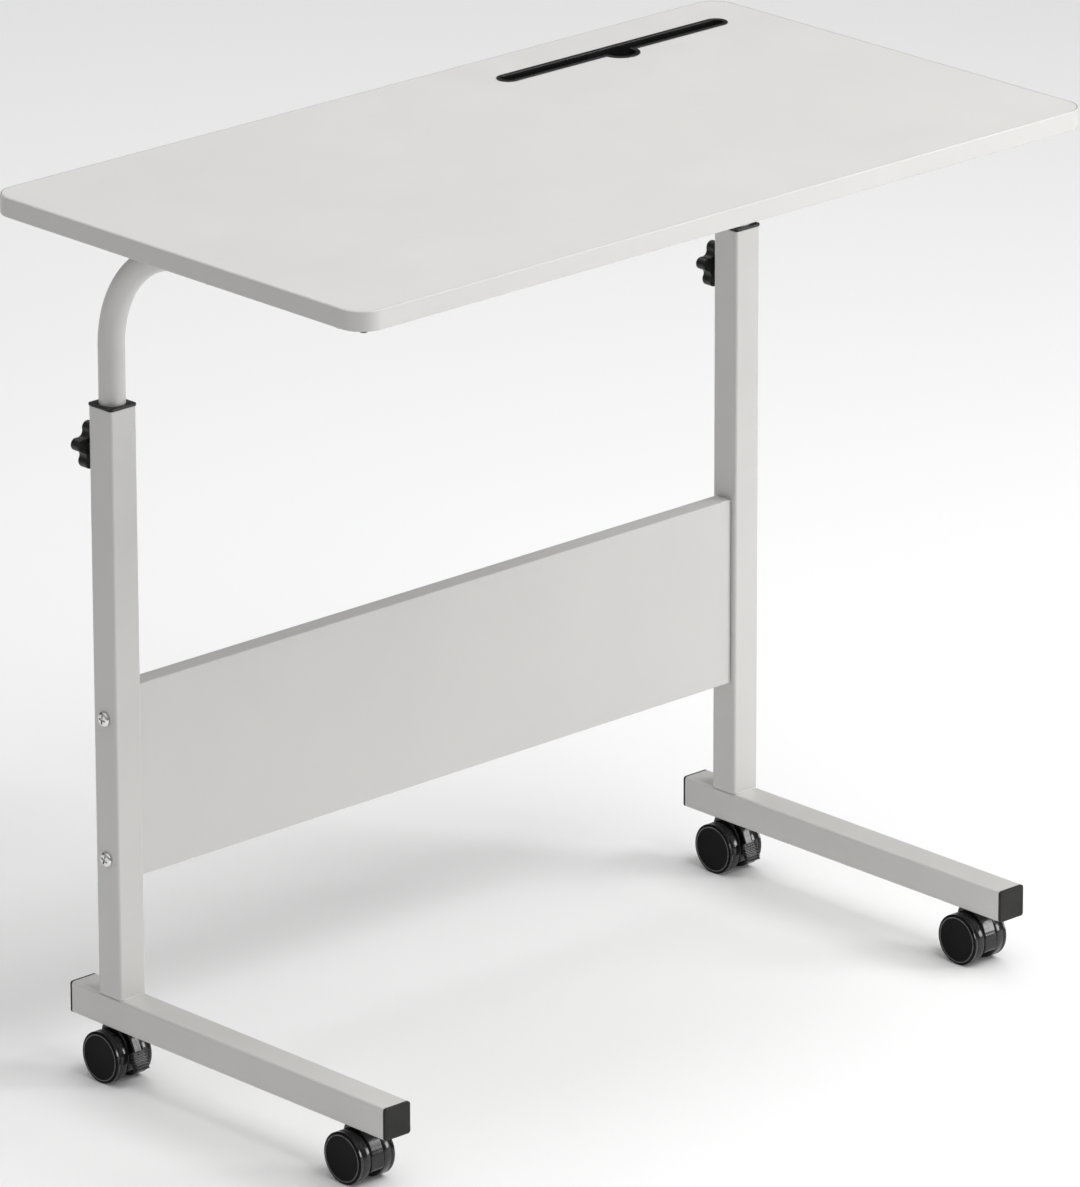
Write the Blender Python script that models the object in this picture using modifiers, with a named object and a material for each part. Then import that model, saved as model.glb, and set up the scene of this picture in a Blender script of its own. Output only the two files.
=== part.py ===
"""Overbed table on four twin-wheel casters, with a height-adjustable top held by two star knobs.

Units are metres, +Z is up, and the origin is on the floor under the middle of the tabletop.
+X runs along the tabletop, +Y towards the legs' side.  Each named object is one separate piece.
"""
import math

import bmesh
import bpy

# ---------------------------------------------------------------- driving dimensions
# Tabletop
TABLE_LENGTH = 0.730
TABLE_DEPTH = 0.400
TABLE_THICKNESS = 0.015
TABLE_CORNER_RADIUS = 0.020
EDGE_BAND_THICKNESS = 0.001
TABLE_EDGE_ROUND = 0.0012
# Tablet slot, an insert near the right rear corner
SLOT_LENGTH = 0.234
SLOT_WIDTH = 0.0185
SLOT_RIGHT_MARGIN = 0.038
SLOT_BACK_MARGIN = 0.0405
SLOT_NOTCH_RADIUS = 0.0150
SLOT_FLANGE_WIDTH = 0.0020
SLOT_FLANGE_THICKNESS = 0.0006
SLOT_WALL = 0.0015
SLOT_DEPTH = 0.0125
SLOT_FIELD_MARGIN = 0.030
TUBE_FIELD_MARGIN = 0.030
# Round upper tubes, bent over under the tabletop
TUBE_DIAMETER = 0.020
TUBE_WALL = 0.0012
TUBE_BEND_RADIUS = 0.085
TUBE_EXPOSED = 0.043
TUBE_FOOT_ABOVE_SCREW = 0.0525
TUBE_FRONT_MARGIN = 0.050
TUBE_PLUG_DOME = 0.0020
TUBE_PLUG_EDGE = 0.0008
TUBE_PLUG_DEPTH = 0.012
GLIDE_THICKNESS = 0.004
GLIDE_PLUG_DEPTH = 0.014
# Square posts and feet
POST_WALL = 0.0012
POST_CORNER_RADIUS = 0.0022
POST_LENGTH = 0.458
POST_SIDE_MARGIN = 0.0368
POST_BACK_MARGIN = 0.0634
FOOT_TUBE_LENGTH = 0.343
FOOT_BACK_OVERHANG = 0.0301
CAP_THICKNESS = 0.0020
CAP_PLUG_DEPTH = 0.012
CAP_PLUG_WALL = 0.0015
FITTING_CORNER_RADIUS = 0.0012
# Collar bush in the top of each post
COLLAR_FLANGE_THICKNESS = 0.0020
COLLAR_OVERHANG = 0.0005
COLLAR_SLEEVE_LENGTH = 0.024
# Panel between the posts
PANEL_HEIGHT = 0.150
PANEL_THICKNESS = 0.016
PANEL_LOWER_EDGE = 0.161
PANEL_EDGE_ROUND = 0.0008
PANEL_SCREW_INSET = 0.017
PANEL_SCREW_PITCH = 0.110
PANEL_SCREW_RADIUS = 0.0025
PANEL_SCREW_BITE = 0.025
PANEL_SCREW_HEAD_RADIUS = 0.00575
PANEL_SCREW_HEAD_HEIGHT = 0.0026
# Screws that hold the tubes under the tabletop
TOP_SCREW_RADIUS = 0.0020
TOP_SCREW_BITE = 0.010
TOP_SCREW_HEAD_RADIUS = 0.0043
TOP_SCREW_HEAD_HEIGHT = 0.0022
TOP_SCREW_INSET = 0.025
# Clamp knobs
KNOB_BELOW_POST_TOP = 0.035
KNOB_TIP_RADIUS = 0.0182
KNOB_VALLEY_RADIUS = 0.0115
KNOB_THICKNESS = 0.0095
KNOB_LOBES = 5
KNOB_HUB_RADIUS = 0.0085
KNOB_HUB_HEIGHT = 0.0022
KNOB_HUB_GAP = 0.0006
KNOB_BORE_DEPTH = 0.008
KNOB_ANGLE = 98.5
STUD_RADIUS = 0.0030
CLAMP_NUT_RADIUS = 0.0070
CLAMP_NUT_THICKNESS = 0.0022
CLAMP_NUT_PILOT_RADIUS = 0.0045
STUD_POINT = 0.0008
# Casters
WHEEL_RADIUS = 0.020
WHEEL_WIDTH = 0.0108
WHEEL_SHOULDER = 0.0020
WHEEL_SHOULDER_DEPTH = 0.0007
WHEEL_FACE_RECESS = 0.0003
WHEEL_FACE_BORDER = 0.0006
WHEEL_INNER_CHAMFER = 0.0004
CASTER_GAP = 0.0130
CASTER_TRAIL = 0.005
CASTER_BASE = 0.268
CASTER_REAR_FROM_POST = 0.0069
HOUSING_TOP = 0.0028
HOUSING_BACK = 0.0105
HOUSING_EDGE_ROUND = 0.0008
AXLE_RADIUS = 0.0020
AXLE_END_GAP = 0.0015
STEM_RADIUS = 0.0040
STEM_PIN_RADIUS = 0.0032
STEM_PIN_DEPTH = 0.014
STEM_FLANGE_RADIUS = 0.0060
STEM_FLANGE_THICKNESS = 0.0008
STEM_THREAD_LENGTH = 0.015
STEM_CHAMFER = 0.0008
CASTER_NUT_FLATS = 0.013
CASTER_NUT_HEIGHT = 0.0065
PEDAL_WIDTH = 0.0145
PEDAL_ARM_WIDTH = 0.0080
PEDAL_PIVOT_RADIUS = 0.0013
PEDAL_ARM_RADIUS = 0.0021
PEDAL_PIN_INSET = 0.0006
PEDAL_SLOT_DEPTH = 0.016
# Clearances
GAP = 0.0003
SLIDE_CLEARANCE = 0.0013
TURN_CLEARANCE = 0.0003

# ---------------------------------------------------------------- derived places
POST_SIZE = TUBE_DIAMETER + 2 * (SLIDE_CLEARANCE + POST_WALL)
POST_INNER = POST_SIZE - 2 * POST_WALL
POST_X = TABLE_LENGTH / 2 - POST_SIDE_MARGIN - POST_SIZE / 2
POST_Y = TABLE_DEPTH / 2 - POST_BACK_MARGIN - POST_SIZE / 2
AXLE_Z = WHEEL_RADIUS
HOUSING_TOP_Z = AXLE_Z + WHEEL_RADIUS + HOUSING_TOP
FOOT_BOTTOM = HOUSING_TOP_Z + STEM_FLANGE_THICKNESS + 2 * GAP
FOOT_TOP = FOOT_BOTTOM + POST_SIZE
POST_BOTTOM = FOOT_TOP + GAP
POST_TOP = POST_BOTTOM + POST_LENGTH
COLLAR_TOP = POST_TOP + GAP + COLLAR_FLANGE_THICKNESS
BEND_START_Z = COLLAR_TOP + TUBE_EXPOSED
TUBE_RUN_Z = BEND_START_Z + TUBE_BEND_RADIUS
TABLE_BOTTOM = TUBE_RUN_Z + TUBE_DIAMETER / 2 + GAP
TABLE_TOP = TABLE_BOTTOM + TABLE_THICKNESS
TUBE_FRONT_Y = -TABLE_DEPTH / 2 + TUBE_FRONT_MARGIN
FOOT_REAR_Y = POST_Y + POST_SIZE / 2 + FOOT_BACK_OVERHANG
FOOT_CENTRE_Y = FOOT_REAR_Y - FOOT_TUBE_LENGTH / 2
KNOB_Z = POST_TOP - KNOB_BELOW_POST_TOP
POST_REAR_Y = POST_Y + POST_SIZE / 2
SCREW_LOW_Z = PANEL_LOWER_EDGE + PANEL_SCREW_INSET
SCREW_HIGH_Z = SCREW_LOW_Z + PANEL_SCREW_PITCH
TUBE_FOOT_Z = SCREW_HIGH_Z + TUBE_FOOT_ABOVE_SCREW
SLOT_X = TABLE_LENGTH / 2 - SLOT_RIGHT_MARGIN - SLOT_LENGTH / 2
SLOT_Y = TABLE_DEPTH / 2 - SLOT_BACK_MARGIN - SLOT_WIDTH / 2
REAR_AXLE_Y = POST_Y + CASTER_REAR_FROM_POST
AXLE_Y = {"rear": REAR_AXLE_Y, "front": REAR_AXLE_Y - CASTER_BASE}
PEDAL_PIVOT_Y = -0.475 * WHEEL_RADIUS
PEDAL_PIVOT_Z = 0.90 * WHEEL_RADIUS
SIDES = {"left": -1, "right": 1}
WALL_HOLE_LENGTH = 8 * POST_WALL

TURN_X = (math.pi / 2, 0.0, math.pi / 2)
TURN_Y = (math.pi / 2, 0.0, 0.0)
ROUND_SEGMENTS = 16
TUBE_RESOLUTION = 6
BEND_STEPS = 9
WHEEL_SEGMENTS = 28
MERGE = 0.00001


# ---------------------------------------------------------------- scene, materials, objects
def clear_scene():
    for old in list(bpy.data.objects):
        bpy.data.objects.remove(old, do_unlink=True)


def new_collection(name):
    collection = bpy.data.collections.new(name)
    bpy.context.scene.collection.children.link(collection)
    return collection


def make_material(name, colour, roughness, metallic=0.0):
    material = bpy.data.materials.new(name)
    material.use_nodes = True
    shader = material.node_tree.nodes["Principled BSDF"]
    shader.inputs["Base Color"].default_value = (*colour, 1.0)
    shader.inputs["Roughness"].default_value = roughness
    shader.inputs["Metallic"].default_value = metallic
    return material


def add_part(name, mesh, material, location=(0, 0, 0), rotation=(0, 0, 0), parent=None):
    """Place one piece in the table's collection; a parent is an unturned empty."""
    part = bpy.data.objects.new(name, mesh)
    parts.objects.link(part)
    part.data.materials.clear()
    part.data.materials.append(material)
    part.rotation_euler = rotation
    part.location = location
    if parent is not None:
        part.parent = parent
        part.location = [a - b for a, b in zip(location, parent.location)]
    return part


def add_empty(name, location):
    empty = bpy.data.objects.new(name, None)
    parts.objects.link(empty)
    empty.location = location
    return empty


def add_cutter(name, mesh, location=(0, 0, 0), rotation=(0, 0, 0)):
    cutter = bpy.data.objects.new(name, mesh)
    cutters.objects.link(cutter)
    cutter.location = location
    cutter.rotation_euler = rotation
    cutter.hide_render = True
    cutter.display_type = "WIRE"
    return cutter


def combine(part, other, operation):
    modifier = part.modifiers.new(operation.lower(), "BOOLEAN")
    modifier.operation = operation
    modifier.solver = "EXACT"
    modifier.object = other


def round_edges(part, width, segments=1):
    modifier = part.modifiers.new("rounded_edges", "BEVEL")
    modifier.width = width
    modifier.segments = segments
    modifier.limit_method = "ANGLE"
    modifier.angle_limit = math.radians(40)


def smooth(mesh):
    mesh.shade_smooth()
    mesh.set_sharp_from_angle(angle=math.radians(35))


# ---------------------------------------------------------------- outlines and meshes
def arc(x, y, radius, start, end, steps):
    """Points of an arc, both ends included, from start to end in degrees."""
    angles = [math.radians(start + (end - start) * i / steps) for i in range(steps + 1)]
    return [(x + radius * math.cos(a), y + radius * math.sin(a)) for a in angles]


def circle(x, y, radius, steps=ROUND_SEGMENTS):
    return arc(x, y, radius, 0, 360, steps)[:-1]


def rounded_rectangle(width, height, radius, steps=3):
    x = width / 2 - radius
    y = height / 2 - radius
    corners = ((x, y, 0), (-x, y, 90), (-x, -y, 180), (x, -y, 270))
    return [p for cx, cy, a in corners for p in arc(cx, cy, radius, a, a + 90, steps)]


def read_curve(curve):
    """Mesh of a curve's evaluated surface, welded, with its faces pointing out."""
    holder = bpy.data.objects.new("holder", curve)
    bpy.context.scene.collection.objects.link(holder)
    evaluated = holder.evaluated_get(bpy.context.evaluated_depsgraph_get())
    mesh = bpy.data.meshes.new_from_object(evaluated)
    bpy.data.objects.remove(holder)
    work = bmesh.new()
    work.from_mesh(mesh)
    bmesh.ops.remove_doubles(work, verts=work.verts, dist=MERGE)
    bmesh.ops.recalc_face_normals(work, faces=work.faces)
    work.to_mesh(mesh)
    work.free()
    return mesh


def extruded(loops, depth):
    """A flat outline, with any holes as further loops, thickened evenly about its plane."""
    curve = bpy.data.curves.new("outline", "CURVE")
    curve.dimensions = "2D"
    curve.fill_mode = "BOTH"
    curve.extrude = depth / 2
    for loop in loops:
        spline = curve.splines.new("POLY")
        spline.points.add(len(loop) - 1)
        spline.use_cyclic_u = True
        for point, (x, y) in zip(spline.points, loop):
            point.co = (x, y, 0.0, 1.0)
    return read_curve(curve)


def swept_tube(path, radius, resolution):
    """Open round skin along a path of points; Solidify gives it its wall."""
    curve = bpy.data.curves.new("path", "CURVE")
    curve.dimensions = "3D"
    curve.bevel_depth = radius
    curve.bevel_resolution = resolution
    spline = curve.splines.new("POLY")
    spline.points.add(len(path) - 1)
    for point, place in zip(spline.points, path):
        point.co = (*place, 1.0)
    return read_curve(curve)


def turned(name, profile, material, location, rotation=(0, 0, 0), parent=None, segments=ROUND_SEGMENTS,
           closed=False):
    """A piece turned about its local Z from (radius, height) points running down its outer side."""
    mesh = bpy.data.meshes.new(name)
    edges = [(i, i + 1) for i in range(len(profile) - 1)]
    if closed:
        edges.append((len(profile) - 1, 0))
    mesh.from_pydata([(r, 0.0, z) for r, z in profile], edges, [])
    part = add_part(name, mesh, material, location, rotation, parent)
    modifier = part.modifiers.new("turning", "SCREW")
    modifier.axis = "Z"
    modifier.steps = segments
    modifier.render_steps = segments
    modifier.use_merge_vertices = True
    modifier.merge_threshold = MERGE
    modifier.use_smooth_shade = True
    return part


def cylinder_mesh(radius, length, segments=ROUND_SEGMENTS):
    work = bmesh.new()
    bmesh.ops.create_cone(work, cap_ends=True, segments=segments, radius1=radius, radius2=radius,
                          depth=length)
    mesh = bpy.data.meshes.new("cylinder")
    work.to_mesh(mesh)
    work.free()
    return mesh


def box_mesh(x, y, z):
    work = bmesh.new()
    bmesh.ops.create_cube(work, size=1.0)
    bmesh.ops.scale(work, vec=(x, y, z), verts=work.verts)
    mesh = bpy.data.meshes.new("box")
    work.to_mesh(mesh)
    work.free()
    return mesh


def screw_profile(shank_radius, shank_length, head_radius, head_height):
    """Pan head above z = 0 and a pointed shank below it."""
    point = 1.5 * shank_radius
    return [
        (0.0, head_height), (0.6 * head_radius, head_height), (0.9 * head_radius, 0.65 * head_height),
        (head_radius, 0.25 * head_height), (head_radius, 0.0), (shank_radius, 0.0),
        (shank_radius, point - shank_length), (0.0, -shank_length),
    ]


def cross_recess(screw, location, rotation, head_radius, head_height):
    """Cut a cross into a screw's head with two thin bars."""
    for turn in (0.0, math.pi / 2):
        bar = add_cutter(screw.name + "_recess", box_mesh(head_radius, 0.18 * head_radius, head_height),
                         location, rotation)
        bar.rotation_euler.rotate_axis("Z", turn + math.pi / 4)
        combine(screw, bar, "DIFFERENCE")


# ---------------------------------------------------------------- tabletop
def table_outline(inset):
    return rounded_rectangle(TABLE_LENGTH - 2 * inset, TABLE_DEPTH - 2 * inset,
                             TABLE_CORNER_RADIUS - inset, 6)


def slot_outline(inset):
    """Long slot with round ends and a round finger notch in its front edge, about the slot's centre."""
    half_width = SLOT_WIDTH / 2 - inset
    end = SLOT_LENGTH / 2 - SLOT_WIDTH / 2
    notch_radius = SLOT_NOTCH_RADIUS - inset
    notch_y = -SLOT_WIDTH / 2 + SLOT_FLANGE_WIDTH / 2
    reach = math.degrees(math.asin((-half_width - notch_y) / notch_radius))
    return (arc(end, 0, half_width, -90, 90, 8) + arc(-end, 0, half_width, 90, 270, 8)
            + arc(0, notch_y, notch_radius, 180 - reach, 360 + reach, 10))


def make_tabletop(carriage):
    middle = (TABLE_BOTTOM + TABLE_TOP) / 2
    board = add_part("tabletop_board", extruded([table_outline(EDGE_BAND_THICKNESS + GAP)], TABLE_THICKNESS),
                     laminate, (0, 0, middle), parent=carriage)
    divide(board.data, (0, SLOT_Y - SLOT_FIELD_MARGIN, 0), (0, 1, 0))
    for sign in SIDES.values():
        divide(board.data, (sign * (POST_X - TUBE_FIELD_MARGIN), 0, 0), (1, 0, 0))
    slot_cutter = extruded([slot_outline(SLOT_FLANGE_WIDTH - GAP)], 2 * TABLE_THICKNESS)
    combine(board, add_cutter("slot_opening", slot_cutter, (SLOT_X, SLOT_Y, middle)), "DIFFERENCE")
    band = add_part("tabletop_edge_band", extruded([table_outline(0), table_outline(EDGE_BAND_THICKNESS)],
                                                   TABLE_THICKNESS),
                    laminate, (0, 0, middle), parent=carriage)
    smooth(band.data)
    return board


def divide(mesh, place, normal):
    """Split every face a plane crosses, so that the flats fall into fields clear of slot and screws."""
    work = bmesh.new()
    work.from_mesh(mesh)
    everything = list(work.verts) + list(work.edges) + list(work.faces)
    bmesh.ops.bisect_plane(work, geom=everything, plane_co=place, plane_no=normal)
    work.to_mesh(mesh)
    work.free()


def lofted(rings):
    """Closed skin through rings of one point count, with a flat face on the first and the last."""
    work = bmesh.new()
    layers = [[work.verts.new(point) for point in ring] for ring in rings]
    for inner, outer in zip(layers, layers[1:]):
        for i in range(len(inner)):
            j = (i + 1) % len(inner)
            work.faces.new((inner[i], inner[j], outer[j], outer[i]))
    for end in (layers[0], layers[-1]):
        work.faces.new(end)
    bmesh.ops.recalc_face_normals(work, faces=work.faces)
    mesh = bpy.data.meshes.new("loft")
    work.to_mesh(mesh)
    work.free()
    smooth(mesh)
    return mesh


def make_slot_tray(carriage):
    """Trough with a thin flange, lofted from its floor up, over the flange and down its outside."""
    flange_bottom = GAP
    flange_top = flange_bottom + SLOT_FLANGE_THICKNESS
    floor = flange_top - SLOT_DEPTH
    pocket_inset = SLOT_FLANGE_WIDTH + SLOT_WALL
    sections = [(pocket_inset, floor), (pocket_inset, flange_top), (0, flange_top), (0, flange_bottom),
                (SLOT_FLANGE_WIDTH, flange_bottom), (SLOT_FLANGE_WIDTH, floor - SLOT_WALL)]
    rings = [[(x, y, z) for x, y in slot_outline(inset)] for inset, z in sections]
    add_part("tablet_slot_tray", lofted(rings), black_plastic, (SLOT_X, SLOT_Y, TABLE_TOP), parent=carriage)


# ---------------------------------------------------------------- upper tubes
def tube_path(x):
    """Up out of the post, over the bend, and forward under the tabletop."""
    bend = arc(POST_Y - TUBE_BEND_RADIUS, BEND_START_Z, TUBE_BEND_RADIUS, 0, 90, BEND_STEPS)
    return [(x, POST_Y, TUBE_FOOT_Z)] + [(x, y, z) for y, z in bend] + [(x, TUBE_FRONT_Y, TUBE_RUN_Z)]


def make_upper_tube(side, board, carriage):
    x = SIDES[side] * POST_X
    tube = add_part(side + "_upper_tube", swept_tube(tube_path(x), TUBE_DIAMETER / 2, TUBE_RESOLUTION),
                    powder_coat, parent=carriage)
    smooth(tube.data)
    wall = tube.modifiers.new("wall", "SOLIDIFY")
    wall.thickness = TUBE_WALL
    wall.offset = -1.0
    bend_end = POST_Y - TUBE_BEND_RADIUS
    places = {"front": TUBE_FRONT_Y + TOP_SCREW_INSET, "rear": bend_end - TOP_SCREW_INSET}
    for end, y in places.items():
        make_top_screw(side, end, x, y, tube, board, carriage)
    bore = TUBE_DIAMETER / 2 - TUBE_WALL - GAP
    radius = TUBE_DIAMETER / 2
    turned(side + "_tube_end_plug",
           [(0.0, TUBE_PLUG_DOME), (radius - TUBE_PLUG_EDGE, TUBE_PLUG_DOME),
            (radius, TUBE_PLUG_DOME - TUBE_PLUG_EDGE), (radius, 0.0), (bore, 0.0),
            (bore, -TUBE_PLUG_DEPTH), (0.0, -TUBE_PLUG_DEPTH)],
           black_plastic, (x, TUBE_FRONT_Y - GAP, TUBE_RUN_Z), TURN_Y, carriage)
    glide_size = POST_INNER - 2 * GAP
    glide_outline = rounded_rectangle(glide_size, glide_size, FITTING_CORNER_RADIUS)
    glide_z = TUBE_FOOT_Z - GAP - GLIDE_THICKNESS / 2
    glide = add_part(side + "_tube_glide", extruded([glide_outline], GLIDE_THICKNESS), black_plastic,
                     (x, POST_Y, glide_z), parent=carriage)
    plug_length = GLIDE_THICKNESS / 2 + GLIDE_PLUG_DEPTH
    plug = add_cutter(side + "_glide_plug", cylinder_mesh(bore, plug_length),
                      (x, POST_Y, glide_z + plug_length / 2))
    combine(glide, plug, "UNION")


def make_top_screw(side, end, x, y, tube, board, carriage):
    """A long screw up through the tube into the board."""
    head_z = TUBE_RUN_Z - TUBE_DIAMETER / 2 - GAP
    length = TABLE_BOTTOM + TOP_SCREW_BITE - head_z
    name = side + "_" + end + "_top_screw"
    profile = screw_profile(TOP_SCREW_RADIUS, length, TOP_SCREW_HEAD_RADIUS, TOP_SCREW_HEAD_HEIGHT)
    turned(name, profile, zinc, (x, y, head_z), (math.pi, 0, 0), carriage, 12)
    hole = add_cutter(name + "_hole", cylinder_mesh(TOP_SCREW_RADIUS + GAP, length + GAP, 12),
                      (x, y, head_z + (length + GAP) / 2))
    combine(tube, hole, "DIFFERENCE")
    combine(board, hole, "DIFFERENCE")


# ---------------------------------------------------------------- posts, feet and collars
def square_tube(length):
    outer = rounded_rectangle(POST_SIZE, POST_SIZE, POST_CORNER_RADIUS)
    inner = rounded_rectangle(POST_INNER, POST_INNER, POST_CORNER_RADIUS - POST_WALL)
    return extruded([outer, inner], length)


def make_post(side):
    x = SIDES[side] * POST_X
    post = add_part(side + "_post", square_tube(POST_LENGTH), powder_coat,
                    (x, POST_Y, (POST_BOTTOM + POST_TOP) / 2))
    hole = add_cutter(side + "_nut_hole", cylinder_mesh(CLAMP_NUT_PILOT_RADIUS + GAP, WALL_HOLE_LENGTH),
                      (x, POST_REAR_Y, KNOB_Z), TURN_Y)
    combine(post, hole, "DIFFERENCE")
    return post


def make_collar(side):
    """Bush with a flange on the post, a sleeve inside it and a round bore for the tube."""
    x = SIDES[side] * POST_X
    flange_size = POST_SIZE + 2 * COLLAR_OVERHANG
    collar = add_part(side + "_post_collar",
                      extruded([rounded_rectangle(flange_size, flange_size, POST_CORNER_RADIUS)],
                               COLLAR_FLANGE_THICKNESS),
                      black_plastic, (x, POST_Y, POST_TOP + GAP + COLLAR_FLANGE_THICKNESS / 2))
    sleeve_size = POST_INNER - 2 * GAP
    sleeve_length = COLLAR_SLEEVE_LENGTH + COLLAR_FLANGE_THICKNESS
    sleeve = extruded([rounded_rectangle(sleeve_size, sleeve_size, FITTING_CORNER_RADIUS)], sleeve_length)
    sleeve_middle = POST_TOP + COLLAR_FLANGE_THICKNESS / 2 - sleeve_length / 2
    combine(collar, add_cutter(side + "_sleeve", sleeve, (x, POST_Y, sleeve_middle)), "UNION")
    bore = cylinder_mesh(TUBE_DIAMETER / 2 + TURN_CLEARANCE, 3 * sleeve_length)
    combine(collar, add_cutter(side + "_collar_bore", bore, (x, POST_Y, POST_TOP)), "DIFFERENCE")


def make_foot(side):
    x = SIDES[side] * POST_X
    foot = add_part(side + "_foot", square_tube(FOOT_TUBE_LENGTH), powder_coat,
                    (x, FOOT_CENTRE_Y, (FOOT_BOTTOM + FOOT_TOP) / 2), TURN_Y)
    for end, direction in (("front", -1), ("rear", 1)):
        stem_y = AXLE_Y[end] + CASTER_TRAIL
        hole = add_cutter(side + "_" + end + "_stem_hole", cylinder_mesh(STEM_RADIUS + GAP, WALL_HOLE_LENGTH),
                          (x, stem_y, FOOT_BOTTOM))
        combine(foot, hole, "DIFFERENCE")
        make_foot_cap(side, end, x, direction)


def make_foot_cap(side, end, x, direction):
    """Flat plastic cap with a hollow plug that grips the inside of the foot."""
    z = (FOOT_BOTTOM + FOOT_TOP) / 2
    tube_end = FOOT_CENTRE_Y + direction * FOOT_TUBE_LENGTH / 2
    face_y = tube_end + direction * (GAP + CAP_THICKNESS / 2)
    cap = add_part(side + "_" + end + "_foot_cap",
                   extruded([rounded_rectangle(POST_SIZE, POST_SIZE, POST_CORNER_RADIUS)], CAP_THICKNESS),
                   cap_plastic, (x, face_y, z), TURN_Y)
    plug_size = POST_INNER - 2 * GAP
    hollow = plug_size - 2 * CAP_PLUG_WALL
    plug = extruded([rounded_rectangle(plug_size, plug_size, FITTING_CORNER_RADIUS, 2),
                     rounded_rectangle(hollow, hollow, FITTING_CORNER_RADIUS / 3, 2)], CAP_PLUG_DEPTH)
    plug_y = face_y - direction * (CAP_THICKNESS / 4 + CAP_PLUG_DEPTH / 2)
    combine(cap, add_cutter(side + "_" + end + "_cap_plug", plug, (x, plug_y, z), TURN_Y), "UNION")


# ---------------------------------------------------------------- panel and its screws
def make_panel(posts):
    length = 2 * (POST_X - POST_SIZE / 2 - GAP)
    panel = add_part("modesty_panel", box_mesh(length, PANEL_THICKNESS, PANEL_HEIGHT), laminate,
                     (0, POST_Y, PANEL_LOWER_EDGE + PANEL_HEIGHT / 2))
    round_edges(panel, PANEL_EDGE_ROUND)
    for side, sign in SIDES.items():
        for level, z in (("lower", SCREW_LOW_Z), ("upper", SCREW_HIGH_Z)):
            make_panel_screw(side, sign, level, z, posts[side], panel)


def make_panel_screw(side, sign, level, z, post, panel):
    """A screw through both walls of a post into the panel's end."""
    head_x = sign * (POST_X + POST_SIZE / 2 + GAP)
    length = POST_SIZE + 2 * GAP + PANEL_SCREW_BITE
    name = side + "_" + level + "_panel_screw"
    place = (head_x, POST_Y, z)
    turn = (math.pi / 2, 0.0, sign * math.pi / 2)
    profile = screw_profile(PANEL_SCREW_RADIUS, length, PANEL_SCREW_HEAD_RADIUS, PANEL_SCREW_HEAD_HEIGHT)
    screw = turned(name, profile, bright_steel, place, turn)
    recess_place = (head_x + sign * PANEL_SCREW_HEAD_HEIGHT, POST_Y, z)
    cross_recess(screw, recess_place, turn, PANEL_SCREW_HEAD_RADIUS, PANEL_SCREW_HEAD_HEIGHT)
    hole_length = length + GAP
    hole = add_cutter(name + "_hole", cylinder_mesh(PANEL_SCREW_RADIUS + GAP, hole_length),
                      (head_x - sign * hole_length / 2, POST_Y, z), turn)
    combine(post, hole, "DIFFERENCE")
    combine(panel, hole, "DIFFERENCE")


# ---------------------------------------------------------------- clamp knobs
def star_outline():
    """Lobed outline whose radius swells smoothly from valley to tip."""
    points = []
    steps = 10 * KNOB_LOBES
    for i in range(steps):
        turn = 2 * math.pi * i / steps
        swell = ((1 + math.cos(KNOB_LOBES * turn)) / 2) ** 0.9
        radius = KNOB_VALLEY_RADIUS + (KNOB_TIP_RADIUS - KNOB_VALLEY_RADIUS) * swell
        turn += math.radians(KNOB_ANGLE)
        points.append((radius * math.cos(turn), radius * math.sin(turn)))
    return points


def make_clamp(side):
    """Weld nut on the post, stud through it to the tube, and the star knob moulded on the stud."""
    x = SIDES[side] * POST_X
    nut_outer_y = POST_REAR_Y + GAP + CLAMP_NUT_THICKNESS
    bore = STUD_RADIUS + TURN_CLEARANCE
    pilot_depth = CLAMP_NUT_THICKNESS + POST_WALL
    turned(side + "_clamp_nut",
           [(bore, 0.0), (CLAMP_NUT_RADIUS, 0.0), (CLAMP_NUT_RADIUS, -CLAMP_NUT_THICKNESS),
            (CLAMP_NUT_PILOT_RADIUS, -CLAMP_NUT_THICKNESS), (CLAMP_NUT_PILOT_RADIUS, -pilot_depth),
            (bore, -pilot_depth)],
           zinc, (x, nut_outer_y, KNOB_Z), (-math.pi / 2, 0, 0), closed=True)
    hub_y = nut_outer_y + KNOB_HUB_GAP
    star_y = hub_y + KNOB_HUB_HEIGHT + KNOB_THICKNESS / 2
    knob = add_part(side + "_knob", extruded([star_outline()], KNOB_THICKNESS),
                    black_plastic, (x, star_y, KNOB_Z), TURN_Y)
    hub_length = KNOB_HUB_HEIGHT + KNOB_THICKNESS / 2
    combine(knob, add_cutter(side + "_hub", cylinder_mesh(KNOB_HUB_RADIUS, hub_length),
                             (x, hub_y + hub_length / 2, KNOB_Z), TURN_Y), "UNION")
    combine(knob, add_cutter(side + "_knob_bore", cylinder_mesh(STUD_RADIUS + GAP, 2 * KNOB_BORE_DEPTH),
                             (x, hub_y, KNOB_Z), TURN_Y), "DIFFERENCE")
    stud_tip = POST_Y + TUBE_DIAMETER / 2 + GAP
    stud_end = hub_y + KNOB_BORE_DEPTH - GAP
    length = stud_end - stud_tip
    turned(side + "_clamp_stud",
           [(0.0, 0.0), (STUD_RADIUS, 0.0), (STUD_RADIUS, STUD_POINT - length),
            (STUD_RADIUS - STUD_POINT, -length), (0.0, -length)],
           zinc, (x, stud_end, KNOB_Z), (-math.pi / 2, 0, 0))


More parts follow.
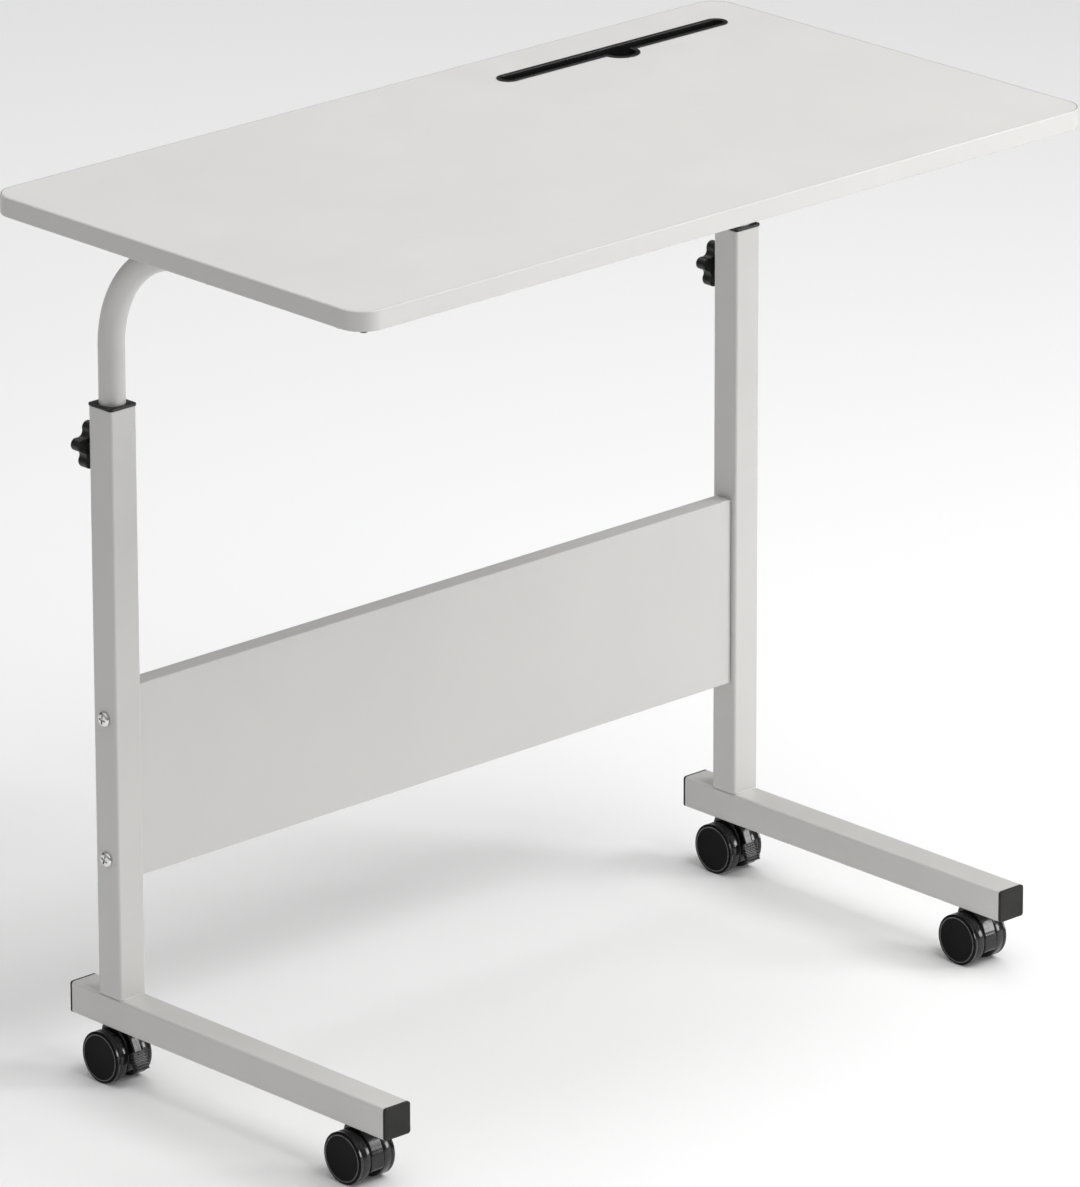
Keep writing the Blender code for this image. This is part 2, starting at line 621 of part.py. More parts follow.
# ---------------------------------------------------------------- casters
def wheel_profile():
    """Closed outer face, bevelled shoulder, tread and a blind bore; z = 0 is the outer face."""
    inner = -WHEEL_WIDTH
    bore = AXLE_RADIUS + TURN_CLEARANCE
    bore_end = inner + WHEEL_WIDTH - AXLE_END_GAP - GAP
    face = WHEEL_RADIUS - WHEEL_SHOULDER
    return [
        (0.0, -WHEEL_FACE_RECESS), (face - WHEEL_FACE_BORDER, -WHEEL_FACE_RECESS), (face, 0.0),
        (WHEEL_RADIUS, -WHEEL_SHOULDER_DEPTH), (WHEEL_RADIUS, inner + WHEEL_INNER_CHAMFER),
        (WHEEL_RADIUS - WHEEL_INNER_CHAMFER, inner), (bore, inner),
        (bore, bore_end), (0.0, bore_end),
    ]


def housing_outline():
    """Side view of the housing about the axle: flat top, sloping front and a round belly, (y, z)."""
    r = WHEEL_RADIUS
    top = r + HOUSING_TOP
    front = -(r + GAP)
    return [
        (HOUSING_BACK, top), (-0.30 * r, top), (-0.68 * r, 0.88 * r), (-0.83 * r, 0.65 * r),
        (front, 0.15 * r), (front, -0.30 * r), (-0.88 * r, -0.47 * r), (-0.30 * r, -0.50 * r),
        (0.20 * r, -0.45 * r), (HOUSING_BACK, 0.0),
    ]


def pedal_outline():
    """Side view of the brake lever about its pivot: it arches over the wheels' front, (y, z)."""
    r = WHEEL_RADIUS
    points = [
        (-0.68 * r, 1.02 * r), (-0.89 * r, 0.98 * r), (-1.15 * r, 0.45 * r), (-1.19 * r, 0.20 * r),
        (-1.25 * r, 0.17 * r), (-1.46 * r, -0.32 * r), (-1.42 * r, -0.38 * r), (-1.33 * r, -0.34 * r),
        (-1.14 * r, 0.10 * r), (-1.07 * r, 0.40 * r), (-0.84 * r, 0.86 * r), (-0.68 * r, 0.90 * r),
    ]
    return [(y - PEDAL_PIVOT_Y, z - PEDAL_PIVOT_Z) for y, z in points]


def make_caster(side, end):
    name = end + "_" + side
    x = SIDES[side] * POST_X
    axle_y = AXLE_Y[end]
    stem_y = axle_y + CASTER_TRAIL
    swivel = add_empty(name + "_swivel", (x, stem_y, AXLE_Z))
    width = CASTER_GAP - 2 * GAP
    housing = add_part(name + "_caster_housing", extruded([housing_outline()], width), black_plastic,
                       (x, axle_y, AXLE_Z), TURN_X, swivel)
    round_edges(housing, HOUSING_EDGE_ROUND)
    axle_length = CASTER_GAP + 2 * (WHEEL_WIDTH - AXLE_END_GAP - 2 * GAP)
    axle_bore = add_cutter(name + "_axle_bore", cylinder_mesh(AXLE_RADIUS + GAP, 2 * width),
                           (x, axle_y, AXLE_Z), TURN_X)
    combine(housing, axle_bore, "DIFFERENCE")
    pin_bore = add_cutter(name + "_stem_bore", cylinder_mesh(STEM_PIN_RADIUS + TURN_CLEARANCE,
                                                            2 * (STEM_PIN_DEPTH + GAP)),
                          (x, stem_y, HOUSING_TOP_Z))
    combine(housing, pin_bore, "DIFFERENCE")
    add_part(name + "_caster_axle", cylinder_mesh(AXLE_RADIUS, axle_length), zinc, (x, axle_y, AXLE_Z),
             TURN_X, swivel)
    for hand, direction in (("left", -1), ("right", 1)):
        face_x = x + direction * (CASTER_GAP / 2 + WHEEL_WIDTH)
        turned(name + "_caster_" + hand + "_wheel", wheel_profile(), wheel_plastic, (face_x, axle_y, AXLE_Z),
               (math.pi / 2, 0.0, direction * math.pi / 2), swivel, WHEEL_SEGMENTS)
    make_stem(name, x, stem_y)
    if end == "rear":
        make_pedal(name, x, axle_y, housing, swivel)


def make_stem(name, x, y):
    """Threaded stem in a nut inside the foot; its plain pin carries the housing."""
    flange_bottom = HOUSING_TOP_Z + GAP
    flange_top = flange_bottom + STEM_FLANGE_THICKNESS
    top = FOOT_BOTTOM + STEM_THREAD_LENGTH
    pin_end = HOUSING_TOP_Z - STEM_PIN_DEPTH
    turned(name + "_caster_stem",
           [(0.0, top), (STEM_RADIUS - STEM_CHAMFER, top), (STEM_RADIUS, top - STEM_CHAMFER),
            (STEM_RADIUS, flange_top),
            (STEM_FLANGE_RADIUS, flange_top), (STEM_FLANGE_RADIUS, flange_bottom),
            (STEM_PIN_RADIUS, flange_bottom), (STEM_PIN_RADIUS, pin_end), (0.0, pin_end)],
           zinc, (x, y, 0.0))
    corner = CASTER_NUT_FLATS / math.sqrt(3)
    nut_loops = [circle(0, 0, corner, 6), circle(0, 0, STEM_RADIUS + GAP)]
    nut_bottom = FOOT_BOTTOM + POST_WALL + GAP
    add_part(name + "_caster_nut", extruded(nut_loops, CASTER_NUT_HEIGHT), zinc,
             (x, y, nut_bottom + CASTER_NUT_HEIGHT / 2))


def make_pedal(name, x, axle_y, housing, swivel):
    """Brake lever on a cross pin in the housing's top, with a toe plate in front of the wheels."""
    place = (x, axle_y + PEDAL_PIVOT_Y, AXLE_Z + PEDAL_PIVOT_Z)
    reach = 0.275 * WHEEL_RADIUS
    arm = [(-reach, PEDAL_ARM_RADIUS)] + arc(0, 0, PEDAL_ARM_RADIUS, 90, -90, 8)
    arm += [(-reach, 0.1 * PEDAL_ARM_RADIUS)]
    pedal = add_part(name + "_brake_pedal", extruded([pedal_outline()], PEDAL_WIDTH), black_plastic, place,
                     TURN_X, swivel)
    combine(pedal, add_cutter(name + "_pedal_arm", extruded([arm], PEDAL_ARM_WIDTH), place, TURN_X), "UNION")
    pin_length = CASTER_GAP - 2 * GAP - 2 * PEDAL_PIN_INSET
    combine(pedal, add_cutter(name + "_pedal_pin", cylinder_mesh(PEDAL_PIVOT_RADIUS, pin_length, 12), place,
                              TURN_X), "UNION")
    slot_length = 0.5 * WHEEL_RADIUS
    slot_mesh = box_mesh(PEDAL_ARM_WIDTH + 4 * GAP, slot_length, PEDAL_SLOT_DEPTH)
    slot_y = place[1] + PEDAL_ARM_RADIUS + 2 * GAP - slot_length / 2
    slot_z = place[2] - PEDAL_ARM_RADIUS - 2 * GAP + PEDAL_SLOT_DEPTH / 2
    combine(housing, add_cutter(name + "_pedal_slot", slot_mesh, (x, slot_y, slot_z)), "DIFFERENCE")
    pin_hole = cylinder_mesh(PEDAL_PIVOT_RADIUS + TURN_CLEARANCE, pin_length + 2 * GAP, 12)
    combine(housing, add_cutter(name + "_pedal_pin_hole", pin_hole, place, TURN_X), "DIFFERENCE")


# ---------------------------------------------------------------- assembly
clear_scene()
parts = new_collection("overbed_table")
cutters = new_collection("overbed_table_cutters")
powder_coat = make_material("white_powder_coat", (0.80, 0.80, 0.79), 0.42)
laminate = make_material("white_laminate", (0.82, 0.82, 0.80), 0.48)
black_plastic = make_material("black_plastic", (0.012, 0.012, 0.012), 0.40)
cap_plastic = make_material("dark_cap_plastic", (0.040, 0.039, 0.036), 0.50)
wheel_plastic = make_material("black_wheel_nylon", (0.010, 0.010, 0.010), 0.34)
zinc = make_material("zinc_plated_steel", (0.62, 0.62, 0.60), 0.35, 1.0)
bright_steel = make_material("bright_steel", (0.80, 0.80, 0.80), 0.22, 1.0)

top_carriage = add_empty("tabletop_carriage", (0, POST_Y, COLLAR_TOP))
tabletop = make_tabletop(top_carriage)
make_slot_tray(top_carriage)
side_posts = {}
for leg in SIDES:
    make_upper_tube(leg, tabletop, top_carriage)
    side_posts[leg] = make_post(leg)
    make_collar(leg)
    make_foot(leg)
    make_clamp(leg)
    for foot_end in AXLE_Y:
        make_caster(leg, foot_end)
make_panel(side_posts)
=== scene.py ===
"""An overbed table on twin-wheel casters: the look of every piece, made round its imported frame."""

import bpy
import numpy as np
from mathutils import Matrix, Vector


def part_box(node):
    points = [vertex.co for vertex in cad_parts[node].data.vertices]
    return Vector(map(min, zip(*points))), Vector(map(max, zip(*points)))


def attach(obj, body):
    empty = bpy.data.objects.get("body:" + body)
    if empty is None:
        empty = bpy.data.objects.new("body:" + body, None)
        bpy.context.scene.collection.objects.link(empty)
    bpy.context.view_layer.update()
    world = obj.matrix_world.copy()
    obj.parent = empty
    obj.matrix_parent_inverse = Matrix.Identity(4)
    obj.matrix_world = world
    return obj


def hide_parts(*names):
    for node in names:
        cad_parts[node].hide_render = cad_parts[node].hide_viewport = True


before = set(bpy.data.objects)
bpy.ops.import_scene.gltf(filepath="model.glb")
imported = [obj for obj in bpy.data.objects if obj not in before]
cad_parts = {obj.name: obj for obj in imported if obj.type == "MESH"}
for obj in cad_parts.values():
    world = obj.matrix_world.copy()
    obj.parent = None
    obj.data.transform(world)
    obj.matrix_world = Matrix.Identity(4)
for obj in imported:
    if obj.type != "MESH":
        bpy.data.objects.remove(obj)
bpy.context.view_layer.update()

sides = {"left": -1.0, "right": 1.0}
X, Y, Z = np.eye(3)


# ---------------------------------------------------------------- feet
# Two lengths of 25 mm square steel tube with a 1.2 mm wall, laid fore and aft, one under each post.  They are
# roll-formed with rounded corners, welded to the posts, and powder coated white together with them.
def piece_of(name, points, faces, body, crease):
    """Object of points and faces that rides a body, smooth except where faces meet past the crease angle."""
    mesh = bpy.data.meshes.new(name)
    mesh.from_pydata(points.tolist(), [], faces)
    mesh.shade_smooth()
    mesh.set_sharp_from_angle(angle=np.radians(crease))
    piece = bpy.data.objects.new(name, mesh)
    bpy.context.scene.collection.objects.link(piece)
    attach(piece, body)
    return piece


def surface(name, grid, body, wrap_rows=False, cap_first=False, cap_last=False, crease=35.0):
    """Piece made of a grid of points (row, column, xyz) whose columns run round in a ring.  Four neighbours
    make a face, rows join end to end if wrapped, and a capped end row is one flat face.  The enclosed volume
    is a sixth of the sum of every corner triple's product; if it is negative all faces are turned round."""
    rows, columns = grid.shape[:2]
    points = grid.reshape(-1, 3)
    index = np.arange(rows * columns).reshape(rows, columns)
    below = index if wrap_rows else index[:-1]
    above = np.roll(index, -1, axis=0) if wrap_rows else index[1:]
    cells = np.stack([below, np.roll(below, -1, 1), np.roll(above, -1, 1), above], -1).reshape(-1, 4)
    caps = ([index[0][::-1]] if cap_first else []) + ([index[-1]] if cap_last else [])
    corners = [cells[:, [0, 1, 2]], cells[:, [0, 2, 3]]]
    corners += [np.stack([np.full(len(c) - 2, c[0]), c[1:-1], c[2:]], 1) for c in caps]
    corners = points[np.concatenate(corners)] - points.mean(0)
    volume = np.einsum("ni,ni->", corners[:, 0], np.cross(corners[:, 1], corners[:, 2])) / 6
    faces = cells.tolist() + [c.tolist() for c in caps]
    if volume < 0:
        faces = [face[::-1] for face in faces]
    return piece_of(name, points, faces, body, crease)


def finish(piece, material, slot, *nodes):
    """Give a piece its material and hide the CAD nodes it stands for."""
    piece.data.materials.append(material)
    if nodes:
        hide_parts(*nodes)


def turned_to(grid, origin, across, up, out):
    """Carry local (a, b, height) points to the table: origin + a across + b up + height out."""
    return np.asarray(origin) + grid @ np.stack([across, up, out])


def rounded_outline(width, height, radius, steps=8):
    """Ring round a rectangle with round corners: each corner's centre plus the radius at even angles over a
    quarter turn, with a guard point on each straight beside it that keeps the flats flat in smooth
    shading."""
    smallest_radius = 0.00005
    radius = max(radius, smallest_radius)
    guard = 0.1 * radius + 0.0001
    turn = np.linspace(0.0, np.pi / 2, steps + 1)
    arc = radius * np.stack([np.cos(turn), np.sin(turn)], 1)
    corner = np.concatenate([[(radius, -guard)], arc, [(-guard, radius)]])
    quarter = np.arange(4) * np.pi / 2
    turning = np.stack([np.cos(quarter), -np.sin(quarter), np.sin(quarter), np.cos(quarter)], 1)
    turning = turning.reshape(4, 2, 2)
    centre = np.array([(1, 1), (-1, 1), (-1, -1), (1, -1)]) * (np.array([width, height]) / 2 - radius)
    return (centre[:, None] + np.einsum("kij,nj->kni", turning, corner)).reshape(-1, 2)


def stacked(outline_at, profile):
    """Grid of rings: each profile point (inset, height) gives the outline at that inset, at that height."""
    return np.stack([np.column_stack([outline_at(inset), np.full(len(outline_at(inset)), height)])
                     for inset, height in profile])


def soft_edge(height, radius, wall=0.0, side=1.0, steps=5):
    """Profile (inset, height) of a rounded edge, from a flat at this height out to the upright wall: a
    quarter circle with a guard point on the flat and one on the wall.  side is 1 for a top edge, -1 for a
    bottom one."""
    turn = np.linspace(0.0, np.pi / 2, steps + 1)
    guard = 0.12 * radius + 0.00005
    inset = np.concatenate([[wall + radius + guard], wall + radius * (1 - np.sin(turn)), [wall]])
    level = np.concatenate([[0.0], radius * (1 - np.cos(turn)), [radius + guard]])
    return list(zip(inset, height - side * level))


def coat(name, light, dark, mottle, rough, grain, relief, metallic=0.0, gloss=0.5,
         swell=0.0, swell_relief=0.0):
    """Procedural finish on Object coordinates.  A slow noise mixes the dark tone into the light one and moves
    the roughness between its two values; a fine noise raises the surface by the relief, and a slower swell of
    its own relief may lie under it, as in the ripple of a baked powder."""
    material = bpy.data.materials.new(name)
    material.use_nodes = True
    nodes, links = material.node_tree.nodes, material.node_tree.links
    shader = nodes["Principled BSDF"]
    place = nodes.new("ShaderNodeTexCoord").outputs["Object"]

    def noise(scale, detail):
        node = nodes.new("ShaderNodeTexNoise")
        node.inputs["Scale"].default_value = scale
        node.inputs["Detail"].default_value = detail
        links.new(place, node.inputs["Vector"])
        return node.outputs["Fac"]

    def spread(value, low, high):
        node = nodes.new("ShaderNodeMapRange")
        node.inputs["From Min"].default_value = 0.3
        node.inputs["From Max"].default_value = 0.7
        node.inputs["To Min"].default_value = low
        node.inputs["To Max"].default_value = high
        links.new(value, node.inputs["Value"])
        return node.outputs["Result"]

    mix = nodes.new("ShaderNodeMix")
    mix.data_type = "RGBA"
    share, light_socket, dark_socket = mix.inputs[0], mix.inputs[6], mix.inputs[7]
    light_socket.default_value = (*light, 1.0)
    dark_socket.default_value = (*dark, 1.0)
    links.new(spread(noise(mottle, 3.0), 0.0, 1.0), share)
    links.new(mix.outputs[2], shader.inputs["Base Color"])
    sheen_against_mottle = 3.1
    links.new(spread(noise(sheen_against_mottle * mottle, 2.0), *rough), shader.inputs["Roughness"])
    shader.inputs["Metallic"].default_value = metallic
    shader.inputs["Specular IOR Level"].default_value = gloss
    normal = None
    for scale, height in ((swell, swell_relief), (grain, relief)):
        if height:
            bump = nodes.new("ShaderNodeBump")
            bump.inputs["Strength"].default_value = 1.0
            bump.inputs["Distance"].default_value = height
            links.new(noise(scale, 2.0), bump.inputs["Height"])
            if normal:
                links.new(normal, bump.inputs["Normal"])
            normal = bump.outputs["Normal"]
    links.new(normal, shader.inputs["Normal"])
    return material


white_powder = coat("white_powder_coat", (0.634, 0.628, 0.612), (0.610, 0.604, 0.588), 14.0,
                    (0.28, 0.38), 900.0, 0.000012, swell=330.0, swell_relief=0.000022)
tube_wall = 0.0012
tube_corner = 0.0022


def square_ring(size, corner):
    """Function that gives the square outline of this size and corner radius, moved in by an inset."""
    return lambda inset: rounded_outline(size - 2 * inset, size - 2 * inset, corner - inset)


def square_tube(name, low, high, along, across, up, body):
    """Hollow square tube: the rounded outline outside and the wall's inset inside, joined at both ends."""
    middle = (low + high) / 2
    half = abs((high - low) @ along) / 2
    size = abs((high - low) @ across)
    profile = [(0.0, -half), (0.0, half), (tube_wall, half), (tube_wall, -half)]
    grid = stacked(square_ring(size, tube_corner), profile)
    return surface(name, turned_to(grid, middle, across, up, along), body, wrap_rows=True)


for side in sides:
    node = side + "_foot"
    low, high = np.array(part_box(node))
    foot = square_tube(node + "_tube", low, high, Y, Z, X, "frame")
    finish(foot, white_powder, "white_powder_coat", node)

# ---------------------------------------------------------------- foot caps
# Flat caps of dark grey plastic, injection moulded with a softly rounded rim.  Each has a hollow square plug
# that is pressed into the open end of a foot.
cap_grey = coat("cap_polypropylene", (0.026, 0.0255, 0.024), (0.020, 0.0195, 0.0185), 60.0, (0.42, 0.55),
                2600.0, 0.000010, gloss=0.2)
cap_rim = 0.0007
cap_face = 0.0020
plug_inset = 0.0015
plug_wall = 0.0015

for side in sides:
    for end, out in (("front", -Y), ("rear", Y)):
        node = f"{side}_{end}_foot_cap"
        low, high = np.array(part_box(node))
        size = high[2] - low[2]
        depth = high[1] - low[1] - cap_face
        middle = (low + high) / 2
        seat = middle + out * ((high[1] - low[1]) / 2 - cap_face)
        profile = soft_edge(cap_face, cap_rim) + [(0.0, 0.0), (plug_inset, 0.0), (plug_inset, -depth)]
        profile += [(plug_inset + plug_wall, -depth), (plug_inset + plug_wall, 0.0)]
        grid = stacked(square_ring(size, tube_corner), profile)
        cap = surface(node + "_moulding", turned_to(grid, seat, X, Z, out), "frame",
                      cap_first=True, cap_last=True)
        finish(cap, cap_grey, "dark_cap_plastic", node)

# ---------------------------------------------------------------- caster wheels
# Twin nylon wheels, 40 mm across and 11 mm wide, closed on the outside by a disc sunk inside a thin lip.  A
# narrow bevel leads to the tread, which has one fine groove near it.  They run on a plain steel axle.
wheel_disc = coat("wheel_disc_nylon", (0.0060, 0.0060, 0.0062), (0.0048, 0.0048, 0.0050), 90.0, (0.30, 0.42),
                  2400.0, 0.000006, gloss=0.07)
wheel_tread = coat("wheel_tread_nylon", (0.020, 0.020, 0.0205), (0.012, 0.012, 0.0125), 120.0, (0.13, 0.22),
                   1500.0, 0.000005)
# The lip's lighter grey is a painted highlight: the bright ring that its edge catches is put into its colour.
lip_highlight_paint = coat("wheel_lip_painted_highlight", (0.115, 0.115, 0.113), (0.070, 0.070, 0.069), 120.0, (0.24, 0.36),
                 1500.0, 0.000005)
wheel_segments = 96
disc_sunk = 0.00030
lip_inner, lip_outer = 0.0174, 0.0178
groove_from_disc, groove_deep = 0.0037, 0.0005
shoulder = 0.0009
wheel_bore = 0.0050
# which bands between neighbouring profile points are the lip, coloured a lighter grey as a painted highlight,
# and which the tread
highlight_rows, tread_rows = range(3, 6), range(8, 20)


def circle(radius, segments=wheel_segments):
    """Ring of points round a circle, at even angles."""
    turn = np.linspace(0.0, 2 * np.pi, segments, endpoint=False)
    return radius * np.stack([np.cos(turn), np.sin(turn)], 1)


def wheel_profile(width, radius):
    """Radii and heights from the disc's centre, up its lip, over the bevel, across the groove and the tread,
    and round the shoulder to the inner face."""
    disc = [(0.0004, -disc_sunk), (lip_inner - 0.0009, -disc_sunk), (lip_inner - 0.0006, 0.00002 - disc_sunk)]
    lip = [(lip_inner - 0.0002, -0.00006), (lip_inner, 0.0), (lip_outer, 0.0), (lip_outer + 0.0002, -0.00008)]
    bevel = [(radius - 0.0001, -0.00064), (radius, -0.00085), (radius, -0.0010)]
    groove = [(radius - deep, beyond - groove_from_disc) for deep, beyond in (
        (0.0, 0.0004), (0.00005, 0.0003), (groove_deep, 0.0001),
        (groove_deep, -0.0001), (0.00005, -0.0003), (0.0, -0.0004))]
    inner = [(radius - deep, short - width) for deep, short in (
        (0.0, shoulder), (0.0001, 0.0005), (0.0005, 0.0001), (shoulder, 0.0))]
    return disc + lip + bevel + groove + inner + [(wheel_bore, -width)]


casters = [(end, side) for end in ("rear", "front") for side in sides]
for end, side in casters:
    for hand, sign in sides.items():
        node = f"{end}_{side}_caster_{hand}_wheel"
        low, high = np.array(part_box(node))
        middle = (low + high) / 2
        width = high[0] - low[0]
        face = middle + sign * X * width / 2
        profile = wheel_profile(width, (high[2] - low[2]) / 2)
        grid = stacked(circle, profile)
        wheel = surface(node + "_moulding", turned_to(grid, face, Y, Z, sign * X),
                        f"{end}_{side}_{hand}_wheel", cap_first=True, cap_last=True, crease=50.0)
        finish(wheel, wheel_disc, "black_wheel_nylon", node)
        wheel.data.materials.append(wheel_tread)
        wheel.data.materials.append(lip_highlight_paint)
        row = np.arange(len(wheel.data.polygons)) // wheel_segments
        part_of_wheel = np.isin(row, tread_rows) + 2 * np.isin(row, highlight_rows)
        wheel.data.polygons.foreach_set("material_index", part_of_wheel.astype(np.int32))

# ---------------------------------------------------------------- caster housings
# One moulded nylon body between each pair of wheels: flat on top, where the stem enters, sloping in front,
# and round below.  The rear ones are slotted at the top front for the brake lever's arm.
housing_nylon = coat("housing_nylon", (0.0095, 0.0095, 0.0100), (0.0070, 0.0070, 0.0073), 90.0, (0.14, 0.24),
                     2200.0, 0.000005)


def star_shaped(outline, centre, angles):
    """Distance from the centre to a closed outline at each angle, between neighbouring outline points."""
    offset = outline - centre
    bearing = np.arctan2(offset[:, 1], offset[:, 0])
    order = np.argsort(bearing)
    return np.interp(angles, bearing[order], np.hypot(*offset.T)[order], period=2 * np.pi)


def softened(outline, rounds=3):
    """Corner cutting: each round puts two points on every side, a sixth of it from either end."""
    for _ in range(rounds):
        after = np.roll(outline, -1, axis=0)
        outline = np.stack([outline * 5 / 6 + after / 6, outline / 6 + after * 5 / 6], 1).reshape(-1, 2)
    return outline


def housing_outline(radius, top, back):
    """Side view about the axle, (y, z), from the top rear corner forward, down and back underneath.  Its front
    stands a hair past the wheel's radius."""
    front = -(radius + 0.0003)
    return np.array([
        (back, top), (-0.30 * radius, top), (-0.68 * radius, 0.88 * radius), (-0.83 * radius, 0.65 * radius),
        (front, 0.15 * radius), (front, -0.30 * radius), (-0.88 * radius, -0.47 * radius),
        (-0.30 * radius, -0.50 * radius), (0.20 * radius, -0.45 * radius), (back, 0.0)])


housing_centre = np.array([-0.003, 0.0030])
arm_slot_half = 0.0046
arm_slot_end = -0.0068
arm_slot_floor = 0.0153
slot_step = 0.00003
housing_rim = 0.0011
angles = np.linspace(-np.pi, np.pi, 256, endpoint=False)
compass = np.stack([np.cos(angles), np.sin(angles)], 1)
for end, side in casters:
    node = f"{end}_{side}_caster_housing"
    low, high = np.array(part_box(node))
    axle = np.array(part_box(f"{end}_{side}_caster_axle")).mean(0)
    wheel_low, wheel_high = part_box(f"{end}_{side}_caster_left_wheel")
    radius = (wheel_high[2] - wheel_low[2]) / 2
    outline = housing_outline(radius, high[2] - axle[2], high[1] - axle[1])
    cheek = star_shaped(softened(outline), housing_centre, angles)
    slotted = cheek.copy()
    if end == "rear":
        toward = (np.cos(angles) < -0.01) & (np.sin(angles) > 0.01)
        reach = np.maximum((arm_slot_end - housing_centre[0]) / np.where(toward, np.cos(angles), -1.0),
                           (arm_slot_floor - housing_centre[1]) / np.where(toward, np.sin(angles), 1.0))
        slotted = np.where(toward, np.minimum(cheek, reach), cheek)
    half = (high[0] - low[0]) / 2
    rim = soft_edge(half, housing_rim)
    profile = ([(cheek, i, x) for i, x in rim] + [(cheek, 0.0, arm_slot_half + slot_step)]
               + [(slotted, 0.0, arm_slot_half), (slotted, 0.0, -arm_slot_half)]
               + [(cheek, 0.0, -arm_slot_half - slot_step)] + [(cheek, i, -x) for i, x in rim[::-1]])
    grid = np.stack([np.column_stack([housing_centre + (reach_out - inset)[:, None] * compass,
                                      np.full(len(angles), x)]) for reach_out, inset, x in profile])
    housing = surface(node + "_moulding", turned_to(grid, axle, Y, Z, X), f"{end}_{side}_caster",
                      cap_first=True, cap_last=True, crease=32.0)
    finish(housing, housing_nylon, "black_plastic", node)

# ---------------------------------------------------------------- caster stems, axles and nuts
# Zinc-plated steel: a threaded stem with a thin flange, a hexagon nut inside the foot that holds it, and a
# plain axle through the housing.  They are turned and pressed parts with a dull, slightly milky plating.
zinc = coat("dull_zinc_plating", (0.62, 0.62, 0.605), (0.50, 0.50, 0.49), 160.0, (0.28, 0.46),
            1800.0, 0.000006, metallic=1.0)


def keep_shape(material, *nodes):
    """CAD nodes that keep their own mesh and only get a finish."""
    for name in nodes:
        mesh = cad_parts[name].data
        mesh.materials.clear()
        mesh.materials.append(material)


for end, side in casters:
    keep_shape(zinc, *(f"{end}_{side}_caster_{kind}" for kind in ("stem", "axle", "nut")))

# ---------------------------------------------------------------- brake levers
# The rear casters are braked by a nylon lever on a cross pin in the housing.  A narrow arm leaves the
# housing's slot and widens into a toe plate that arches down in front of the wheels, with ribs for grip
# across its face.
lever_nylon = coat("brake_lever_nylon", (0.0125, 0.0125, 0.0130), (0.0090, 0.0090, 0.0094), 90.0,
                   (0.15, 0.26), 2200.0, 0.000005)


def along_path(points, steps):
    """Even stations along a smooth curve through the points, by cubic blending of each neighbouring four."""
    padded = np.concatenate([[2 * points[0] - points[1]], points, [2 * points[-1] - points[-2]]])
    t = np.linspace(0.0, 1.0, steps, endpoint=False)[:, None]
    a, b, c, d = (padded[k:len(padded) - 3 + k, None] for k in range(4))
    curve = 0.5 * (2 * b + (c - a) * t + (2 * a - 5 * b + 4 * c - d) * t**2 + (3 * b - a - 3 * c + d) * t**3)
    return np.concatenate([curve.reshape(-1, points.shape[1]), points[-1:]])


lever_steps = 24
# down the middle of the lever: y and z about the axle, and half its thickness there
middle_line = np.array([
    (-0.0083, 0.0180, 0.0016), (-0.0120, 0.0191, 0.0013), (-0.0150, 0.0192, 0.0011),
    (-0.0177, 0.0175, 0.0012), (-0.0207, 0.0120, 0.0010), (-0.0224, 0.0080, 0.0010),
    (-0.0236, 0.0036, 0.0013), (-0.0260, -0.0018, 0.0013), (-0.0279, -0.0066, 0.0009)])
arm_half_width, toe_half_width = 0.0040, 0.0072
# counted in points of the middle line
arm_ends, ribs_start, first_rib, ribs_end, ribs_per_point = 5.2, 5.3, 5.45, 7.8, 2.4
rib_height = 0.00045

stations = along_path(middle_line, lever_steps)
line, half_thick = stations[:, :2], stations[:, 2:]
at = np.arange(len(stations)) / lever_steps
half_width = np.where(at < arm_ends, arm_half_width, toe_half_width)[:, None]
heading = np.gradient(line, axis=0)
heading /= np.linalg.norm(heading, axis=1, keepdims=True)
outward = np.stack([heading[:, 1], -heading[:, 0]], 1)
outward *= np.where(outward[:, :1] > 0, -1.0, 1.0)
ring = rounded_outline(2.0, 2.0, 0.35, 4)
wave = np.clip(1.6 * np.cos(2 * np.pi * ribs_per_point * (at - first_rib)), -1, 1)
ribs = np.where((at > ribs_start) & (at < ribs_end), wave, 0.0)
on_face = ring[None, :, 1] > 0.6
lift = half_thick * ring[None, :, 1] + np.where(on_face, rib_height, 0.0) * ribs[:, None]
grid = np.concatenate([(half_width * ring[None, :, 0])[..., None],
                       line[:, None] + lift[..., None] * outward[:, None]], -1)
for side in sides:
    node = f"rear_{side}_brake_pedal"
    axle = np.array(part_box(f"rear_{side}_caster_axle")).mean(0)
    lever = surface(node + "_moulding", grid + axle, f"rear_{side}_pedal", cap_first=True, cap_last=True,
                    crease=38.0)
    finish(lever, lever_nylon, "black_plastic", node)

